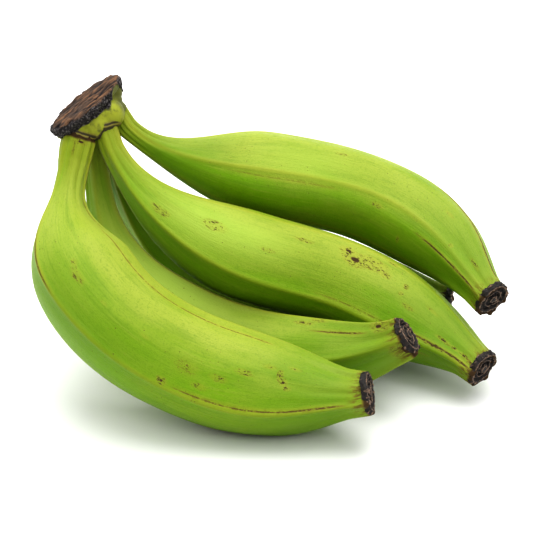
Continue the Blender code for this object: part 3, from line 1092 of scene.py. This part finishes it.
def cut_frame(mesh):
    """The cut face's middle, its outward normal and its long direction, from the merged crown."""
    tops = [face for face in mesh.polygons if face.normal.z > 0.8]
    normal = np.array(sum((face.normal * face.area for face in tops), Vector()).normalized())
    places = points_of(mesh)[sorted({vertex for face in tops for vertex in face.vertices})]
    for _ in range(4):  # each time the normal fits the rim better
        rise = places @ normal
        rim = places[rise > rise.max() - RIM_THICKNESS]
        _, _, axes = np.linalg.svd(rim - rim.mean(0))
        normal = axes[2] * math.copysign(1, axes[2][2])
    long_way = axes[0] * math.copysign(1, axes[0][0])
    sides = (long_way, np.cross(normal, long_way), normal)
    middle = sum(side * ((rim @ side).min() + (rim @ side).max()) / 2 for side in sides)
    return middle, normal, long_way


class CutFace:
    """The crown's cut face: its middle, its outward normal, and its long and wide directions."""

    def __init__(self, mesh):
        self.middle, self.normal, self.long_way = cut_frame(mesh)
        self.wide_way = np.cross(self.normal, self.long_way)

    def seen_from(self, places):
        """Places as metres along the cut face, across it and under it."""
        offsets = places - self.middle
        return offsets @ self.long_way, offsets @ self.wide_way, -(offsets @ self.normal)

    def place(self, along, across, under):
        """The place that far along the cut face, across it and under it."""
        aside = along * self.long_way + across * self.wide_way
        return Vector(self.middle + aside - under * self.normal)


def add_flesh(face):
    """The balls of flesh under the cut face."""
    parts = []
    for along, across, under, radius in CROWN_FLESH:
        spot = face.place(along / 1000, across / 1000, under / 1000)
        bpy.ops.mesh.primitive_ico_sphere_add(subdivisions=3, radius=radius / 1000, location=spot)
        parts.append(bpy.context.object)
    return parts


def add_collar(face, sections):
    """Flesh round the start of a neck, widening up into the crown."""
    start = Vector(sections.middles[0]) + sections.neck_axis * COLLAR_START
    along, across, _ = face.seen_from(sections.middles[0])
    way = face.place(0.8 * along, 0.5 * across, COLLAR_TOP) - start
    at_neck, in_crown = COLLAR_WIDTHS
    bpy.ops.mesh.primitive_cone_add(
        vertices=32, depth=way.length,
        radius1=sections.neck_radius * at_neck, radius2=sections.neck_radius * in_crown,
        location=start + way / 2, rotation=way.to_track_quat("Z", "Y").to_euler())
    return bpy.context.object


def grow_crown(crown, face, settings, fingers):
    """Adds the flesh and the collars to the crown's block and grows them together."""
    collared = [sections for node, sections in fingers.items() if node != "front_plantain"]
    join_to(crown, add_flesh(face) + [add_collar(face, sections) for sections in collared])
    apply_modifier(crown, "REMESH", mode="VOXEL", voxel_size=settings.voxel)
    apply_modifier(crown, "SMOOTH", factor=0.5, iterations=3)


def work_crown(mesh, face):
    """Grooves the cut face, crumbles its rim, paints both, and returns the new places."""
    places = points_of(mesh)
    along, across, under = face.seen_from(places)
    fibres = np.stack([along, across, -under], 1)
    ragged = 0.0012 * wrinkle(places, 260, 2)
    on_face = 1 - smooth_rise(under + 0.5 * ragged, 0.0006, 0.0018)
    # the crust is deepest at one end of the face, thin near the other and deep again at its very end
    depth = 0.0078 - 0.0068 * smooth_rise(along, 0.006, 0.016)
    depth += 0.011 * smooth_rise(along, 0.0165, 0.0195)
    crusty = 1 - smooth_rise(under + ragged, depth - 0.0008, depth + 0.0004)
    grooves = wrinkle(fibres, (60, 330, 60), 3) + 0.8 * wrinkle(fibres, (150, 850, 150), 5)
    lumps = 0.0013 * wrinkle(places, 260, 8) + 0.0008 * wrinkle(places, 620, 9)
    height = on_face * (0.0016 * grooves - 0.0007)
    height += crusty * (1 - on_face) * (0.0004 + lumps) + 0.3 * on_face * lumps
    height += (1 - crusty) * 0.0003 * wrinkle(places, 150, 6)
    paint(mesh, "face", on_face)
    paint(mesh, "crusty", crusty)
    paint(mesh, "fibres", fibres)
    paint(mesh, "grooves", grooves)
    paint(mesh, "cushion", 1 - smooth_rise(along, 0.008, 0.014))
    places = places + normals_of(mesh) * height[:, None]
    places[:, 2] = np.minimum(places[:, 2], CAD_BOX[1].z)
    return places


def scar_necks(mesh, places, fingers):
    """Draws the flesh in to each neck and paints how far a place is from the neck's scar, in mm."""
    scar = np.full(len(places), NO_SCAR)
    for node, sections in fingers.items():
        if node == "back_plantain":  # its neck runs on into the crown without a scar
            continue
        offsets = places - sections.middles[0]
        axis = np.array(sections.neck_axis)
        back = -(offsets @ axis)
        outward = offsets + back[:, None] * axis
        away = np.linalg.norm(outward, axis=1)
        near = away < SCAR_REACH * sections.neck_radius
        start = FRONT_SCAR if node == "front_plantain" else COLLAR_START
        scar = np.where(near, np.minimum(scar, (back + start) * 1000), scar)
        tuck = TUCK * near * (1 - smooth_rise(back + start, -0.0005, 0.0015))
        places -= outward / (away[:, None] + 1e-9) * tuck[:, None]
    paint(mesh, "scar", scar)


def make_crown(settings, look, fingers):
    """The crown: fibrous cut face, crusty rim, and flesh that ends in scars round the necks."""
    crown = merged_copy("crown", "crown_block")
    face = CutFace(crown.data)
    grow_crown(crown, face, settings, fingers)
    places = work_crown(crown.data, face)
    scar_necks(crown.data, places, fingers)
    set_points(crown.data, places)
    put_in_place(crown, look)
    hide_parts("crown")


# ---------------------------------------------------------------- stage

FLOOR_GAP = 0.0002         # how far under the object the floor lies
SKY_SPAN = (-0.4, 0.9)     # cosines of the angle to the bright side: where it is dim, where bright
AIM_SHIFT = (-0.0037, 0.0073)            # from the object's middle to the point that is looked at
AIM_HEIGHT = 0.0594


def make_floor():
    """A plain pale floor, just under the object."""
    bpy.ops.object.select_all(action="DESELECT")
    bpy.ops.mesh.primitive_plane_add(size=16, location=(0, 0, CAD_BOX[0].z - FLOOR_GAP))
    floor = bpy.context.object
    floor.name = "floor"
    made = Shader("pale floor")
    floor.data.materials.append(made.finish(Base_Color=(0.80, 0.80, 0.80, 1), Roughness=0.9))


def add_sun(name, strength, shines_from, softness):
    """A soft light from far away."""
    lamp = bpy.data.lights.new(name, "SUN")
    lamp.angle = softness
    lamp.energy = strength
    sun = bpy.data.objects.new(name, lamp)
    bpy.context.scene.collection.objects.link(sun)
    sun.rotation_euler = Vector(shines_from).to_track_quat("Z", "Y").to_euler()


def make_lights(settings):
    """White surroundings that are brighter on one side, and two soft suns."""
    world = bpy.data.worlds.new("white room")
    bpy.context.scene.world = world
    world.use_nodes = True
    nodes, links = world.node_tree.nodes, world.node_tree.links
    background = nodes["Background"]
    background.inputs["Color"].default_value = (1, 1, 1, 1)
    sky = nodes.new("ShaderNodeTexCoord")
    aim = nodes.new("ShaderNodeVectorMath")
    aim.operation = "DOT_PRODUCT"
    aim.inputs[1].default_value = Vector(settings.bright_side).normalized()
    level = nodes.new("ShaderNodeMapRange")
    level.inputs["From Min"].default_value, level.inputs["From Max"].default_value = SKY_SPAN
    level.inputs["To Min"].default_value = settings.fill
    level.inputs["To Max"].default_value = settings.bright
    links.new(sky.outputs["Generated"], aim.inputs[0])
    links.new(aim.outputs["Value"], level.inputs["Value"])
    links.new(level.outputs["Result"], background.inputs["Strength"])
    add_sun("key", settings.key, settings.key_from, settings.softness)
    add_sun("front", settings.front, settings.front_from, settings.softness)


def make_camera(settings):
    """The camera, in front of the object and above it."""
    middle = (CAD_BOX[0] + CAD_BOX[1]) / 2
    target = Vector((middle.x + AIM_SHIFT[0], middle.y + AIM_SHIFT[1], AIM_HEIGHT))
    back = Vector((0, -math.cos(settings.elevation), math.sin(settings.elevation)))
    camera = bpy.data.objects.new("camera", bpy.data.cameras.new("camera"))
    bpy.context.scene.collection.objects.link(camera)
    camera.location = target + back * settings.distance
    camera.rotation_euler = (-back).to_track_quat("-Z", "Y").to_euler()
    camera.data.lens = settings.lens
    bpy.context.scene.camera = camera


# ---------------------------------------------------------------- operators

MEASURED = {}              # each finger's sections, for its blossom end and for the crown


class PLANTAIN_OT_fingers(bpy.types.Operator):
    """Models the peel of every finger"""
    bl_idname = "plantain.fingers"
    bl_label = "Fingers"

    def execute(self, context):
        settings = context.scene.plantain_peel
        look = peel_material(settings)
        for seed, node in enumerate(FINGERS, start=1):
            MEASURED[node] = make_peel(node, seed, settings, look)
        return {"FINISHED"}


class PLANTAIN_OT_blossoms(bpy.types.Operator):
    """Models the dried blossom end of every finger"""
    bl_idname = "plantain.blossoms"
    bl_label = "Blossom ends"

    def execute(self, context):
        settings = context.scene.plantain_blossom
        look = blossom_material(settings)
        for seed, node in enumerate(FINGERS, start=1):
            make_blossom(node, MEASURED[node], seed, settings, look)
        return {"FINISHED"}


class PLANTAIN_OT_crown(bpy.types.Operator):
    """Models the cut crown"""
    bl_idname = "plantain.crown"
    bl_label = "Crown"

    def execute(self, context):
        settings = context.scene.plantain_crown
        make_crown(settings, crown_material(settings), MEASURED)
        return {"FINISHED"}


class PLANTAIN_OT_stage(bpy.types.Operator):
    """Makes the floor, the lights and the camera"""
    bl_idname = "plantain.stage"
    bl_label = "Stage"

    def execute(self, context):
        settings = context.scene.plantain_stage
        make_floor()
        make_lights(settings)
        make_camera(settings)
        view = context.scene.view_settings
        view.view_transform = "Standard"
        view.exposure = settings.exposure
        view.gamma = settings.gamma
        return {"FINISHED"}


# each operator, and the name and class of its settings on the scene
PIECES = (
    (PLANTAIN_OT_fingers, "plantain_peel", PlantainPeelSettings),
    (PLANTAIN_OT_blossoms, "plantain_blossom", PlantainBlossomSettings),
    (PLANTAIN_OT_crown, "plantain_crown", PlantainCrownSettings),
    (PLANTAIN_OT_stage, "plantain_stage", PlantainStageSettings),
)


class PLANTAIN_PT_panel(bpy.types.Panel):
    """Lists the operators and their settings"""
    bl_idname = "PLANTAIN_PT_panel"
    bl_label = "Plantain hand"
    bl_space_type = "VIEW_3D"
    bl_region_type = "UI"
    bl_category = "Plantains"

    def draw(self, context):
        for operator, name, group in PIECES:
            box = self.layout.box()
            box.operator(operator.bl_idname)
            for setting in group.__annotations__:
                box.prop(getattr(context.scene, name), setting)


def register():
    for operator, name, group in PIECES:
        bpy.utils.register_class(group)
        setattr(bpy.types.Scene, name, PointerProperty(type=group))
        bpy.utils.register_class(operator)
    bpy.utils.register_class(PLANTAIN_PT_panel)


def unregister():
    bpy.utils.unregister_class(PLANTAIN_PT_panel)
    for operator, name, group in reversed(PIECES):
        bpy.utils.unregister_class(operator)
        delattr(bpy.types.Scene, name)
        bpy.utils.unregister_class(group)


def main():
    register()
    bpy.ops.plantain.stage()
    bpy.ops.plantain.fingers()
    bpy.ops.plantain.blossoms()
    bpy.ops.plantain.crown()


if __name__ == "__main__":
    main()
